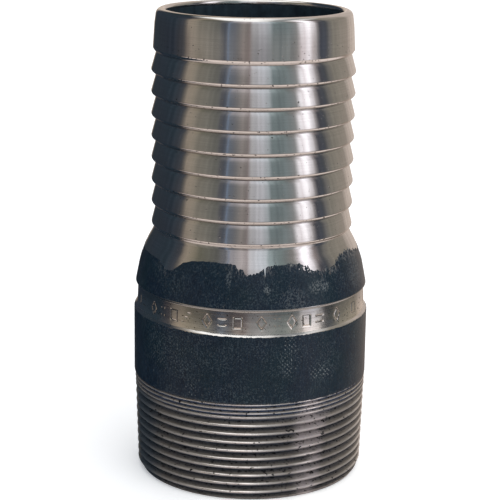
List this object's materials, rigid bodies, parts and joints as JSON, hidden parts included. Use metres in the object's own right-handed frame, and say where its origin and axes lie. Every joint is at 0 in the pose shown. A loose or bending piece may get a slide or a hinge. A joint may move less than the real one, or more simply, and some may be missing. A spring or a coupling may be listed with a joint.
{
  "type": "combination hose nipple",
  "caption": "Steel combination hose nipple: a serrated shank for hose, a swaged shoulder, a marking groove, a plain band and a tapered male pipe thread.",
  "frame": {"origin": "centre of the threaded end's face, which the nipple stands on", "axes": "+Z along the bore, from the threaded end up to the hose end; X and Y are across it"},
  "size_m": [0.0602, 0.0602, 0.1197],
  "materials": {
    "turned_steel": "bright lathe-turned plain steel with fine rings, small pits and nicks",
    "black_lacquer": "satin black pipe lacquer over steel, scratched and worn through at its edges",
    "mill_scale": "dull blue-black mill scale on the steel bore"
  },
  "bodies": {
    "root": {"nipple_body": "turned_steel", "shoulder_lacquer": "black_lacquer", "grip_lacquer": "black_lacquer", "bore_scale": "mill_scale"}
  },
  "joints": []
}
